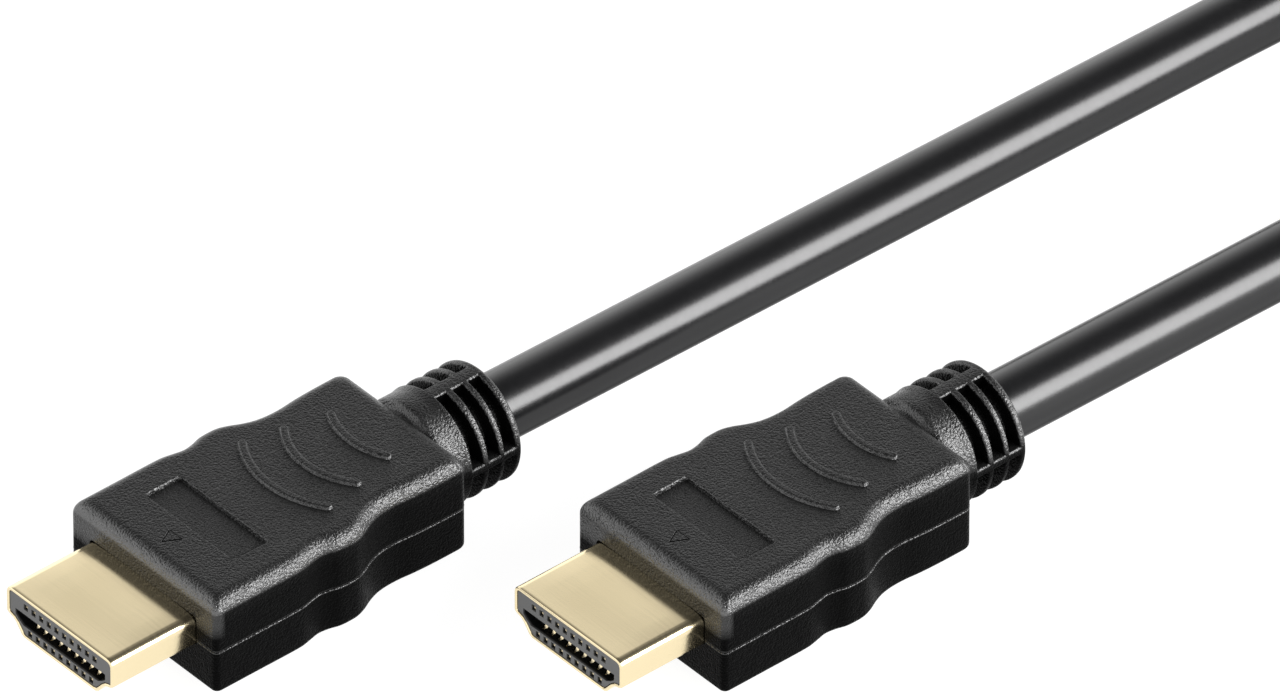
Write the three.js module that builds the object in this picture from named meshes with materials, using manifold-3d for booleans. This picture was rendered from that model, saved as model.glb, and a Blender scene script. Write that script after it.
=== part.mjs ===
// Cable with a full-size 19-contact plug on each end, in millimetres, +Z up.
// The two plugs lie side by side, mouths towards -X; one cord joins them.
// The length between them is folded into a flat two-layer hank held by a strap.
// Origin: centre of the two plugs' bounding box, on the surface they lie on.
import * as THREE from 'three';
import Module from 'manifold-3d';
import { mergeVertices } from 'three/addons/utils/BufferGeometryUtils.js';

// ---------- driving dimensions ----------
const AXIS_H = 5.6;             // height of a plug's axis over the surface (= boot radius)
const PLUG_B = [32.4, -27.9];   // tip of plug B relative to the tip of plug A
const ORIGIN = [39.45, -13.95];  // centre of the plugs' box, seen from the tip of plug A

// metal shell, D-shaped section (half outline, y across, z up from the axis)
const SHELL_OUT = [[6.55, 2.27], [6.82, 2.16], [6.93, 1.9], [6.93, -0.46], [6.72, -0.64], [6.04, -0.84], [5.7, -1.12], [5.0, -2.02], [4.7, -2.18]];
const SHELL_IN = [[6.3, 1.9], [6.52, 1.8], [6.62, 1.56], [6.62, -0.28], [6.5, -0.4], [5.9, -0.58], [5.48, -0.93], [4.79, -1.76], [4.52, -1.9]];
const SHELL_FRONT = 0, SHELL_REAR = 13.6;

// moulded contact carrier inside the shell
const CARRIER_GAP = 0.06;       // clearance to the shell's inside
const CARRIER_FRONT = 0.1, CARRIER_REAR = 13.2;
const CAVITY = [[5.88, 0.3], [5.88, -0.3], [5.5, -0.62], [4.9, -1.0]]; // half outline of the mating slot
const CAVITY_REAR = 8.2;
const PITCH = 1.0;              // contact pitch in each row
const UPPER_COUNT = 10, LOWER_COUNT = 9;
const GROOVE_W = 0.54, UPPER_GROOVE = [0.82, 1.42], LOWER_GROOVE = [-1.76, -1.14], GROOVE_REAR = 12.4;
const LEDGE_REAR = 0.6;         // the grooves open into the slot behind this ledge
const CONTACT_W = 0.36;

// moulded grip
const GRIP_FRONT = 9.2, GRIP_REAR = 38.2;
const GRIP_TOP = 5.15, GRIP_BOTTOM = -4.6;     // from the axis
const TOP_EDGE_R = 1.5, BOTTOM_EDGE_R = 0.5, CORNER_R = 0.5, REAR_CORNER_R = 0.9;
const GRIP_HALF = [[9.2, 9.5], [14, 9.5], [18.2, 9.5], [19, 9.45], [20, 9.24], [21, 9.05], [22, 9.17], [23, 9.45], [24, 9.51], [25, 9.44],
  [26, 9.1], [27, 8.6], [28, 8.22], [29, 8.03], [30, 7.97], [31, 8.0], [32, 8.1], [33.5, 8.19], [36, 8.24], [38.2, 8.25]];
const POCKET_GAP = 0.1, POCKET_REAR = 14.0;    // socket in the grip that holds the shell
const RECESS = [14.3, 18.2, 5.82, 0.35];       // bare label recess: front, rear, half width, depth
const MARK = [11.2, 12.9, 0.9, 0.25];          // direction mark: point, base, half base, depth
const ARC_RIDGES = [[23.1, 9.6, 5.85], [27.15, 7.6, 5.0], [32.15, 7.6, 3.95]]; // vertex, radius, half chord
const RIDGE_W = 0.9, RIDGE_H = 0.28;

// strain-relief boot, one moulding with the grip
const BOOT_R = 5.6, BOOT_REAR = 46.5, BOOT_BORE_R = 3.3, BOOT_BORE_FRONT = 45.9;
const SLOT_REARS = [42.2, 44.02, 45.78], SLOT_W = 1.16, SLOT_FLOOR_R = 3.95;
const RIBS = [[89, 1.35], [2, 0.8], [270, 1.35], [178, 0.8]]; // angle about the axis, width

// cord, and the coil of the length between the plugs
const CORD_D = 6.3, CORD_R = CORD_D / 2;
const CORD_RISE = 0.25;                        // cord's centre over the plug's axis, at the boot
const CORD_DROP = 0.0177;                      // fall of the cord where it leaves a boot, per mm
const COIL_L = 171, COIL_STRAIGHT = 72;        // the hank's left arc centre, seen from the tip of plug A, and its straight stretch
const COIL_R = COIL_L + COIL_STRAIGHT, COIL_X = (COIL_L + COIL_R) / 2, COIL_Y = PLUG_B[1] / 2;
const COIL_IN = 11, COIL_PITCH = 6.4, COIL_SIDE_TURNS = 2.1, COIL_BEND_R = 30;
const COIL_OUT = COIL_IN + COIL_SIDE_TURNS * COIL_PITCH;
const COIL_FULL_TURNS = 4;
const FACE_GAP = 0.3;
// strap round the middle of the hank
const STRAP_W = 10, STRAP_T = 1.2, STRAP_LIFT = 1.25;

// ---------- solids ----------
const wasm = await Module();
wasm.setup();
function solid(geometry) {
  const g = geometry.clone();
  g.deleteAttribute('normal');
  g.deleteAttribute('uv');
  const m = mergeVertices(g, 1e-4);
  return new wasm.Manifold(new wasm.Mesh({
    numProp: 3,
    vertProperties: new Float32Array(m.attributes.position.array),
    triVerts: new Uint32Array(m.index.array),
  }));
}
function geometryOf(manifold) {
  const m = manifold.getMesh();
  const g = new THREE.BufferGeometry();
  const pos = new Float32Array((m.vertProperties.length / m.numProp) * 3);
  for (let i = 0; i < pos.length / 3; i++) {
    for (let k = 0; k < 3; k++) pos[i * 3 + k] = m.vertProperties[i * m.numProp + k];
  }
  g.setAttribute('position', new THREE.BufferAttribute(pos, 3));
  g.setIndex(new THREE.BufferAttribute(new Uint32Array(m.triVerts), 1));
  return g;
}
// full closed outline from a half outline given from the top corner down to the bottom corner
function mirrored(half) {
  const right = half.map(([y, z]) => new THREE.Vector2(y, z));
  const left = half.slice().reverse().map(([y, z]) => new THREE.Vector2(-y, z));
  return [...right, ...left];
}
function grown(points, d) {
  // outline moved outwards by d, corner by corner
  const n = points.length, out = [];
  let area = 0;
  for (let i = 0; i < n; i++) area += points[i].x * points[(i + 1) % n].y - points[(i + 1) % n].x * points[i].y;
  const s = area > 0 ? 1 : -1;
  for (let i = 0; i < n; i++) {
    const a = points[(i + n - 1) % n], b = points[i], c = points[(i + 1) % n];
    const d1 = b.clone().sub(a).normalize(), d2 = c.clone().sub(b).normalize();
    const n1 = new THREE.Vector2(d1.y * s, -d1.x * s), n2 = new THREE.Vector2(d2.y * s, -d2.x * s);
    const bis = n1.clone().add(n2).normalize();
    out.push(b.clone().addScaledVector(bis, d / Math.max(0.5, bis.dot(n1))));
  }
  return out;
}
// prism of an outline in the YZ plane, from x0 to x1
function prism(points, x0, x1, holes = []) {
  const ccw = (list, want) => (THREE.ShapeUtils.isClockWise(list) === want ? list.slice().reverse() : list);
  const shape = new THREE.Shape(ccw(points, true));
  for (const h of holes) shape.holes.push(new THREE.Path(ccw(h, false)));
  const g = new THREE.ExtrudeGeometry(shape, { depth: x1 - x0, bevelEnabled: false, curveSegments: 8 });
  // extrusion axis Z -> X, shape x -> Y, shape y -> Z
  g.applyMatrix4(new THREE.Matrix4().set(0, 0, 1, x0, 1, 0, 0, 0, 0, 1, 0, 0, 0, 0, 0, 1));
  return g;
}
function block(x0, x1, y0, y1, z0, z1) {
  const g = new THREE.BoxGeometry(x1 - x0, y1 - y0, z1 - z0);
  g.translate((x0 + x1) / 2, (y0 + y1) / 2, (z0 + z1) / 2);
  return g;
}
// closed body through loops of equal point count, capped at both ends
function loft(loops) {
  const n = loops[0].length, pos = [], idx = [];
  for (const loop of loops) for (const p of loop) pos.push(p[0], p[1], p[2]);
  for (let l = 0; l + 1 < loops.length; l++) {
    for (let i = 0; i < n; i++) {
      const a = l * n + i, b = l * n + (i + 1) % n, c = a + n, d = b + n;
      idx.push(a, b, d, a, d, c);
    }
  }
  const flat = loops[0].map((p) => new THREE.Vector2(p[0], p[1]));
  for (const [x, y, z] of THREE.ShapeUtils.triangulateShape(flat, [])) idx.push(z, y, x);
  const base = (loops.length - 1) * n;
  const top = loops[loops.length - 1].map((p) => new THREE.Vector2(p[0], p[1]));
  for (const [x, y, z] of THREE.ShapeUtils.triangulateShape(top, [])) idx.push(base + x, base + y, base + z);
  const g = new THREE.BufferGeometry();
  g.setAttribute('position', new THREE.Float32BufferAttribute(pos, 3));
  g.setIndex(idx);
  return g;
}

// ---------- plug pieces, in the plug's own frame: X from tip to cord, Z up from the axis ----------
const shellGeometry = prism(mirrored(SHELL_OUT), SHELL_FRONT, SHELL_REAR, [mirrored(SHELL_IN)]);

function rowY(i, count) { return (i - (count - 1) / 2) * PITCH; }

function carrierGeometry() {
  let body = solid(prism(grown(mirrored(SHELL_IN), -CARRIER_GAP), CARRIER_FRONT, CARRIER_REAR));
  body = body.subtract(solid(prism(mirrored(CAVITY), CARRIER_FRONT - 1, CAVITY_REAR)));
  const cut = (y, x0, z0, z1) => {
    body = body.subtract(solid(block(x0, GROOVE_REAR, y - GROOVE_W / 2, y + GROOVE_W / 2, z0, z1)));
  };
  for (let i = 0; i < UPPER_COUNT; i++) {
    const y = rowY(i, UPPER_COUNT);
    cut(y, CARRIER_FRONT - 1, UPPER_GROOVE[0], UPPER_GROOVE[1]);
    cut(y, LEDGE_REAR, CAVITY[0][1] - 0.05, UPPER_GROOVE[0] + 0.05);
  }
  for (let i = 0; i < LOWER_COUNT; i++) {
    const y = rowY(i, LOWER_COUNT);
    cut(y, CARRIER_FRONT - 1, LOWER_GROOVE[0], LOWER_GROOVE[1]);
    cut(y, LEDGE_REAR, LOWER_GROOVE[1] - 0.05, CAVITY[3][1] + 0.05);
  }
  return geometryOf(body);
}
// spring contact: a strip lying in its groove, with a bowed tip that stands into the mating slot
const CONTACT_T = 0.2;
const UPPER_LINE = [[0.3, 0.94], [0.66, 0.9], [0.8, -0.2], [1.0, -0.46], [1.4, -0.46], [3.6, 0.4], [6.2, 1.0], [12.3, 1.0]];
const UPPER_SHORT = [[0.3, 0.94], [1.5, 0.9], [1.8, -0.1], [2.1, -0.34], [2.6, -0.34], [4.6, 0.5], [6.6, 1.0], [12.3, 1.0]];
const LOWER_LINE = [[0.3, -1.6], [0.9, -1.5], [1.2, -1.1], [1.7, -0.86], [2.2, -0.86], [4.4, -1.3], [6.6, -1.6], [12.3, -1.6]];
function contactGeometry(line) {
  const low = line.map(([x, z]) => new THREE.Vector2(x, z));
  const high = line.map(([x, z]) => new THREE.Vector2(x, z + CONTACT_T)).reverse();
  const shape = new THREE.Shape([...low, ...high]);
  const g = new THREE.ExtrudeGeometry(shape, { depth: CONTACT_W, bevelEnabled: false });
  // shape x -> X, shape y -> Z, extrusion -> -Y
  g.applyMatrix4(new THREE.Matrix4().set(1, 0, 0, 0, 0, 0, -1, CONTACT_W / 2, 0, 1, 0, 0, 0, 0, 0, 1));
  return g;
}

// plan outline of the grip, moved in by d, counter-clockwise seen from above
const halfCurve = new THREE.CatmullRomCurve3(GRIP_HALF.map(([x, y]) => new THREE.Vector3(x, y, 0)), false, 'centripetal');
function gripOutline(d) {
  const side = [];
  const x0 = GRIP_FRONT + CORNER_R, x1 = GRIP_REAR - REAR_CORNER_R;
  const samples = halfCurve.getPoints(200);
  const halfAt = (x) => {
    for (let i = 1; i < samples.length; i++) {
      if (samples[i].x >= x) {
        const t = (x - samples[i - 1].x) / (samples[i].x - samples[i - 1].x);
        return samples[i - 1].y + t * (samples[i].y - samples[i - 1].y);
      }
    }
    return samples[samples.length - 1].y;
  };
  const xs = [x0, 17.6, 18.6, 19.3, 20, 20.6, 21.1, 21.7, 22.3, 22.9, 23.6, 24.4, 25, 25.6, 26.2, 26.8, 27.4, 28, 28.7, 29.4, 30.2, 31.2, 32.4, 34, x1];
  for (const x of xs) {
    const slope = (halfAt(Math.min(x + 0.2, x1)) - halfAt(Math.max(x - 0.2, x0))) / 0.4;
    const l = Math.hypot(1, slope);
    side.push([x + (slope / l) * d, halfAt(x) - d / l]);
  }
  const pts = [];
  const arc = (cx, cy, r, a0, a1, n) => {
    for (let i = 0; i <= n; i++) {
      const a = THREE.MathUtils.degToRad(a0 + ((a1 - a0) * i) / n);
      pts.push([cx + Math.max(r, 0.02) * Math.cos(a), cy + Math.max(r, 0.02) * Math.sin(a)]);
    }
  };
  const rf = Math.max(CORNER_R - d, 0.05), rr = Math.max(REAR_CORNER_R - d, 0.05);
  const hf = halfAt(x0), hr = halfAt(x1);
  // right side towards the rear (y < 0), rear corners, left side towards the front, front corners
  for (const [x, y] of side.slice(1, -1)) pts.push([x, -y]);
  arc(GRIP_REAR - d - rr, -(hr - d - rr), rr, -90, 0, 3);
  arc(GRIP_REAR - d - rr, hr - d - rr, rr, 0, 90, 3);
  for (const [x, y] of side.slice(1, -1).reverse()) pts.push([x, y]);
  arc(GRIP_FRONT + d + rf, hf - d - rf, rf, 90, 180, 3);
  arc(GRIP_FRONT + d + rf, -(hf - d - rf), rf, 180, 270, 3);
  return pts;
}
function roundedGrip() {
  const loops = [];
  const level = (d, z) => loops.push(gripOutline(d).map(([x, y]) => [x, y, z]));
  for (let i = 0; i <= 2; i++) {
    const a = (Math.PI / 2) * (i / 2);
    level(BOTTOM_EDGE_R * (1 - Math.sin(a)), GRIP_BOTTOM + BOTTOM_EDGE_R * (1 - Math.cos(a)));
  }
  for (let i = 0; i <= 5; i++) {
    const a = (Math.PI / 2) * (i / 5);
    level(TOP_EDGE_R * (1 - Math.cos(a)), GRIP_TOP - TOP_EDGE_R * (1 - Math.sin(a)));
  }
  return solid(loft(loops));
}
// raised ridge along an arc on the grip's top, bowed towards the tip
function arcRidge([vertex, radius, halfChord]) {
  const a = Math.asin(halfChord / radius), n = 9, outline = [];
  const at = (r, t) => [vertex + radius - r * Math.cos(t), r * Math.sin(t)];
  for (let i = 0; i <= n; i++) outline.push(at(radius + RIDGE_W / 2, -a + (2 * a * i) / n));
  for (let i = n; i >= 0; i--) outline.push(at(radius - RIDGE_W / 2, -a + (2 * a * i) / n));
  outline.reverse();
  const z0 = GRIP_TOP - 0.4, z1 = GRIP_TOP + RIDGE_H;
  return solid(loft([outline.map(([x, y]) => [x, y, z0]), outline.map(([x, y]) => [x, y, z1])]));
}
// turned body about the X axis from a profile of [x, radius]
function turned(profile, segments = 32) {
  const g = new THREE.LatheGeometry(profile.map(([x, r]) => new THREE.Vector2(r, x)), segments);
  // lathe axis Y -> X
  g.applyMatrix4(new THREE.Matrix4().set(0, 1, 0, 0, 0, 0, 1, 0, 1, 0, 0, 0, 0, 0, 0, 1));
  return g;
}
function outward(geometry) {
  // shared corners merged, and faces turned so that the volume is positive
  geometry.deleteAttribute('normal');
  geometry.deleteAttribute('uv');
  const g = mergeVertices(geometry, 1e-4);
  const p = g.attributes.position, ix = g.index.array;
  let v = 0;
  const a = new THREE.Vector3(), b = new THREE.Vector3(), c = new THREE.Vector3();
  for (let i = 0; i < ix.length; i += 3) {
    a.fromBufferAttribute(p, ix[i]); b.fromBufferAttribute(p, ix[i + 1]); c.fromBufferAttribute(p, ix[i + 2]);
    v += a.dot(b.cross(c));
  }
  if (v < 0) for (let i = 0; i < ix.length; i += 3) [ix[i + 1], ix[i + 2]] = [ix[i + 2], ix[i + 1]];
  return g;
}
function overmouldGeometry() {
  let body = roundedGrip();
  const bootFront = GRIP_REAR - 2;
  body = body.add(solid(outward(turned([[bootFront, 0], [bootFront, BOOT_R - 0.6], [GRIP_REAR - 0.4, BOOT_R - 0.6], [GRIP_REAR + 0.2, BOOT_R],
    [BOOT_REAR - 0.35, BOOT_R], [BOOT_REAR - 0.1, BOOT_R - 0.12], [BOOT_REAR, BOOT_R - 0.4], [BOOT_REAR, 0]], 40))));
  // annular slots, left whole at the ribs
  for (const rear of SLOT_REARS) {
    let cut = solid(outward(turned([[rear - SLOT_W, SLOT_FLOOR_R], [rear - SLOT_W, BOOT_R + 1], [rear, BOOT_R + 1], [rear, SLOT_FLOOR_R], [rear - SLOT_W, SLOT_FLOOR_R]], 40)));
    for (const [angle, width] of RIBS) {
      const rib = block(rear - SLOT_W - 0.5, rear + 0.5, 1, BOOT_R + 2, -width / 2, width / 2);
      rib.rotateX(THREE.MathUtils.degToRad(angle));
      cut = cut.subtract(solid(rib));
    }
    body = body.subtract(cut);
  }
  for (const ridge of ARC_RIDGES) body = body.add(arcRidge(ridge));
  const [rf, rr, rh, rd] = RECESS;
  body = body.subtract(solid(block(rf, rr, -rh, rh, GRIP_TOP - rd, GRIP_TOP + 1)));
  const [mp, mb, mh, md] = MARK;
  const mark = [[mp, 0], [mb, -mh], [mb, mh]];
  body = body.subtract(solid(loft([mark.map(([x, y]) => [x, y, GRIP_TOP - md]), mark.map(([x, y]) => [x, y, GRIP_TOP + 1])])));
  // socket for the shell, and the shallow seat of the cord
  body = body.subtract(solid(prism(grown(mirrored(SHELL_OUT), POCKET_GAP), GRIP_FRONT - 1, POCKET_REAR)));
  const bore = outward(turned([[BOOT_BORE_FRONT, 0], [BOOT_BORE_FRONT, BOOT_BORE_R], [BOOT_REAR + 1, BOOT_BORE_R], [BOOT_REAR + 1, 0]], 24));
  bore.translate(0, 0, CORD_RISE);
  body = body.subtract(solid(bore));
  return geometryOf(body);
}

// ---------- cord route, in millimetres from the tip of plug A, z over the surface ----------
const exitX = BOOT_BORE_FRONT + FACE_GAP;
const sideStep = COIL_OUT + COIL_Y;            // from a plug's axis to the outer turn on its side
const bend = Math.acos(1 - sideStep / (2 * COIL_BEND_R));
const bendX = COIL_L - 2 * COIL_BEND_R * Math.sin(bend);
const smooth = (t) => { const c = Math.min(Math.max(t, 0), 1); return c * c * (3 - 2 * c); };
function cordRoute() {
  const pts = [];
  // plug A: straight, then a left and a right bend on to the hank's outer turn
  const drop = (x, from) => AXIS_H + CORD_RISE - CORD_DROP * (x - from);
  const settle = (x) => drop(x, exitX) + (CORD_R - drop(x, exitX)) * smooth((x - 135) / 30);
  for (let x = exitX; x < bendX - 3; x += 6) pts.push([x, 0, settle(x)]);
  for (let i = 0; i <= 4; i++) {
    const a = (bend * i) / 4, x = bendX + COIL_BEND_R * Math.sin(a);
    pts.push([x, COIL_BEND_R * (1 - Math.cos(a)), settle(x)]);
  }
  for (let i = 1; i <= 4; i++) {
    const a = bend * (1 - i / 4), x = COIL_L - COIL_BEND_R * Math.sin(a);
    pts.push([x, sideStep - COIL_BEND_R * (1 - Math.cos(a)), settle(x)]);
  }
  const lead = pts.length;
  // hank (clockwise from above): inwards below, up on the inside, outwards above
  const total = Math.PI + 2 * Math.PI * COIL_FULL_TURNS;
  const inEnd = COIL_SIDE_TURNS * 2 * Math.PI, climb = total - 2 * inEnd;
  const at = (turned, cx, psi) => {
    let r;
    if (turned <= inEnd) r = COIL_OUT - (COIL_PITCH * turned) / (2 * Math.PI);
    else if (turned <= inEnd + climb) r = COIL_IN;
    else r = COIL_IN + (COIL_PITCH * (turned - inEnd - climb)) / (2 * Math.PI);
    const z = CORD_R + CORD_D * smooth((turned - inEnd + 0.1) / (climb + 0.2));
    pts.push([cx + r * Math.cos(psi), COIL_Y + r * Math.sin(psi), z]);
  };
  const halves = 2 * COIL_FULL_TURNS + 1, arcSteps = 9, straightSteps = 6;
  for (let h = 0; h <= halves; h++) {
    // straight stretch, then the half turn after it
    const right = h % 2 === 0, start = Math.PI * h;
    for (let i = 1; i <= straightSteps; i++) {
      const f = i / straightSteps;
      at(start, right ? COIL_L + COIL_STRAIGHT * f : COIL_R - COIL_STRAIGHT * f, Math.PI / 2 - start);
    }
    if (h === halves) break;
    for (let i = 1; i <= arcSteps; i++) {
      const turned = start + (Math.PI * i) / arcSteps;
      at(turned, right ? COIL_R : COIL_L, Math.PI / 2 - turned);
    }
  }
  const tail = pts.length;
  // plug B: off the upper outer turn, down, and straight to the boot
  const exitB = PLUG_B[0] + exitX, zTop = CORD_R + CORD_D;
  const height = (x) => drop(x, exitB) + (zTop - drop(x, exitB)) * smooth((x - 116) / 46);
  for (let i = 1; i <= 4; i++) {
    const a = (bend * i) / 4, x = COIL_L - COIL_BEND_R * Math.sin(a);
    pts.push([x, PLUG_B[1] - sideStep + COIL_BEND_R * (1 - Math.cos(a)), height(x)]);
  }
  for (let i = 1; i <= 4; i++) {
    const a = bend * (1 - i / 4), x = bendX + COIL_BEND_R * Math.sin(a);
    pts.push([x, PLUG_B[1] - COIL_BEND_R * (1 - Math.cos(a)), height(x)]);
  }
  for (let x = bendX - 6; x > exitB + 3; x -= 6) pts.push([x, PLUG_B[1], height(x)]);
  pts.push([exitB, PLUG_B[1], height(exitB)]);
  return { pts, lead, tail };
}
const route = cordRoute();
const RING_IN = COIL_IN - CORD_R, RING_OUT = COIL_OUT + CORD_R, RING_H = 2 * CORD_D;
function tube(points) {
  const curve = new THREE.CatmullRomCurve3(points.map((p) => new THREE.Vector3(p[0], p[1], p[2])), false, 'centripetal');
  const section = new THREE.Shape();
  const sides = 12;
  for (let i = 0; i < sides; i++) {
    const a = (2 * Math.PI * (i + 0.5)) / sides;
    const r = CORD_R / Math.cos(Math.PI / sides) * 0.985;
    if (i === 0) section.moveTo(r * Math.cos(a), r * Math.sin(a)); else section.lineTo(r * Math.cos(a), r * Math.sin(a));
  }
  section.closePath();
  return outward(new THREE.ExtrudeGeometry(section, { steps: Math.max(6, Math.round(curve.getLength() / (CORD_D * 1.5))), extrudePath: curve, bevelEnabled: false }));
}
// stretches outside the coil, each stopped where its side would touch the coil's ring
const clearOfRing = (p) => Math.hypot(p[0] - Math.min(Math.max(p[0], COIL_L), COIL_R), p[1] - COIL_Y) > RING_OUT + CORD_R + FACE_GAP;
function dense(points) {
  const c = new THREE.CatmullRomCurve3(points.map((p) => new THREE.Vector3(...p)), false, 'centripetal');
  return c.getPoints(points.length * 6).map((v) => [v.x, v.y, v.z]);
}
const leadPts = dense(route.pts.slice(0, route.lead)).filter(clearOfRing);
const tailPts = dense(route.pts.slice(route.tail - 1)).filter(clearOfRing);
const thin = (pts) => pts.filter((p, i) => i % 4 === 0 || i === pts.length - 1);

function ringGeometry() {
  // long ring about the hank's centre: one loop for each corner of its section, joined round
  const c = 2.4, arcSteps = 32;
  const prof = [[RING_IN + c, 0], [RING_OUT - c, 0], [RING_OUT, c], [RING_OUT, RING_H - c], [RING_OUT - c, RING_H], [RING_IN + c, RING_H], [RING_IN, RING_H - c], [RING_IN, c]];
  const pos = [], idx = [], n = 2 * (arcSteps + 1);
  for (const [r, z] of prof) {
    for (const side of [0, 1]) {
      for (let i = 0; i <= arcSteps; i++) {
        const a = -Math.PI / 2 + Math.PI * (i / arcSteps + side);
        pos.push((side ? -1 : 1) * COIL_STRAIGHT / 2 + r * Math.cos(a), r * Math.sin(a), z);
      }
    }
  }
  for (let l = 0; l < prof.length; l++) {
    for (let i = 0; i < n; i++) {
      const k = ((l + 1) % prof.length) * n, j = (i + 1) % n;
      idx.push(l * n + i, l * n + j, k + j, l * n + i, k + j, k + i);
    }
  }
  const g = new THREE.BufferGeometry();
  g.setAttribute('position', new THREE.Float32BufferAttribute(pos, 3));
  g.setIndex(idx);
  const notch = block(-STRAP_W / 2 - 0.3, STRAP_W / 2 + 0.3, -RING_OUT - 3, RING_OUT + 3, -1, STRAP_T + 0.3);
  return geometryOf(solid(outward(g)).subtract(solid(notch)));
}
function strapGeometry() {
  // band across the hank: outline in the YZ plane
  const box = (m, c) => {
    const y = RING_OUT + m, z0 = STRAP_T + 0.3 - m, z1 = RING_H + STRAP_LIFT + m;
    return [[y - c, z0], [y, z0 + c], [y, z1 - c], [y - c, z1], [-y + c, z1], [-y, z1 - c], [-y, z0 + c], [-y + c, z0]].map(([a, b]) => new THREE.Vector2(a, b));
  };
  return prism(box(0.3 + STRAP_T, 2.0), -STRAP_W / 2, STRAP_W / 2, [box(0.3, 0.8)]);
}

// ---------- the part ----------
const gold = () => new THREE.MeshStandardMaterial({ color: 0xd9c391, roughness: 0.32, metalness: 1 });
const carrierMat = () => new THREE.MeshStandardMaterial({ color: 0x2b2b2f, roughness: 0.55, metalness: 0 });
const contactMat = () => new THREE.MeshStandardMaterial({ color: 0xe6c77a, roughness: 0.25, metalness: 1 });
const mouldMat = () => new THREE.MeshStandardMaterial({ color: 0x141415, roughness: 0.5, metalness: 0 });
const cordMat = () => new THREE.MeshStandardMaterial({ color: 0x111112, roughness: 0.3, metalness: 0 });
const strapMat = () => new THREE.MeshStandardMaterial({ color: 0x18181a, roughness: 0.85, metalness: 0 });

const group = new THREE.Group();
function addMesh(parent, name, geometry, material) {
  const mesh = new THREE.Mesh(geometry, material);
  mesh.name = name;
  parent.add(mesh);
  return mesh;
}
const carrier = carrierGeometry(), overmould = overmouldGeometry();
const upper = outward(contactGeometry(UPPER_LINE)), upperEnd = outward(contactGeometry(UPPER_SHORT)), lower = outward(contactGeometry(LOWER_LINE));
for (const [tag, x, y] of [['plug_a', 0, 0], ['plug_b', PLUG_B[0], PLUG_B[1]]]) {
  const plug = new THREE.Group();
  plug.position.set(x - ORIGIN[0], y - ORIGIN[1], AXIS_H);
  addMesh(plug, `${tag}_shell`, outward(shellGeometry.clone()), gold());
  addMesh(plug, `${tag}_insulator`, carrier.clone(), carrierMat());
  addMesh(plug, `${tag}_overmould`, overmould.clone(), mouldMat());
  for (let i = 0; i < UPPER_COUNT; i++) {
    addMesh(plug, `${tag}_contact_upper_${String(i + 1).padStart(2, '0')}`, (i === 0 || i === UPPER_COUNT - 1 ? upperEnd : upper).clone(), contactMat()).position.set(0, rowY(i, UPPER_COUNT), 0);
  }
  for (let i = 0; i < LOWER_COUNT; i++) {
    addMesh(plug, `${tag}_contact_lower_${String(i + 1).padStart(2, '0')}`, lower.clone(), contactMat()).position.set(0, rowY(i, LOWER_COUNT), 0);
  }
  group.add(plug);
}
const cordGroup = new THREE.Group();
cordGroup.position.set(-ORIGIN[0], -ORIGIN[1], 0);
addMesh(cordGroup, 'cord_lead_a', tube(thin(leadPts)), cordMat());
addMesh(cordGroup, 'cord_lead_b', tube(thin(tailPts)), cordMat());
addMesh(cordGroup, 'cord_coil', ringGeometry(), cordMat()).position.set(COIL_X, COIL_Y, 0);
addMesh(cordGroup, 'cord_tie', outward(strapGeometry()), strapMat()).position.set(COIL_X, COIL_Y, 0);
group.add(cordGroup);

export default group;
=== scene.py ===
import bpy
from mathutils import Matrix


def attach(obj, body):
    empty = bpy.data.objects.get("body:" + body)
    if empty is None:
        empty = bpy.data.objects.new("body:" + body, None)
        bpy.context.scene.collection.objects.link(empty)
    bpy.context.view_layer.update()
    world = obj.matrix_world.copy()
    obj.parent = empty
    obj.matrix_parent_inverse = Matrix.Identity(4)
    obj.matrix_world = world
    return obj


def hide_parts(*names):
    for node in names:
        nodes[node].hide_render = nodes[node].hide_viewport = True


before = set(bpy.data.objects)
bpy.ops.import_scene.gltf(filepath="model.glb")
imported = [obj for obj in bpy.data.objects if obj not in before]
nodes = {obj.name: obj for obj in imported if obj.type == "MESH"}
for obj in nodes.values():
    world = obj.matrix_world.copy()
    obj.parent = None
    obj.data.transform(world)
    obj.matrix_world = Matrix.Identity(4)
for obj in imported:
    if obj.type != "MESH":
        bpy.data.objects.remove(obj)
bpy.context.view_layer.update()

# Cable with a 19-contact plug on each end: two plugs side by side, one cord, the length between them in a tied hank.
# Lengths in the drawing functions are in millimetres, in a plug's own frame: x from the tip to the cord,
# y across, z up from the plug's axis. They are placed in the row frame in metres.
import math
import bpy
import bmesh
import numpy as np
from mathutils import Vector, Matrix
from mathutils.geometry import delaunay_2d_cdt

MM = 0.001
AXIS_H = 5.6
ORIGIN = (39.45, -13.95)
PLUG_B = (32.4, -27.9)
PLUGS = {"plug_a": (0.0, 0.0), "plug_b": PLUG_B}


scene = bpy.context.scene


# ------------------------------------------------------------------ camera
def aim(cam, target, azimuth, elevation, distance):
    az, el = math.radians(azimuth), math.radians(elevation)
    to_cam = Vector((math.sin(az) * math.cos(el), -math.cos(az) * math.cos(el), math.sin(el)))
    cam.location = Vector(target) + to_cam * distance
    cam.rotation_euler = (-to_cam).to_track_quat("-Z", "Y").to_euler()


camera_data = bpy.data.cameras.new("camera")
camera_data.lens = 900.0
camera_data.sensor_width = 36.0
camera_data.clip_start = 0.05
camera_data.clip_end = 50.0
camera = bpy.data.objects.new("camera", camera_data)
scene.collection.objects.link(camera)
VIEW_W = 0.10802
aim(camera, (23.45 * MM, 12.18 * MM, 5.6 * MM), -40.7, 38.7, VIEW_W * camera_data.lens / 36.0 + 0.022)
scene.camera = camera
scene.view_settings.view_transform = "Standard"
scene.view_settings.look = "None"


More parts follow.
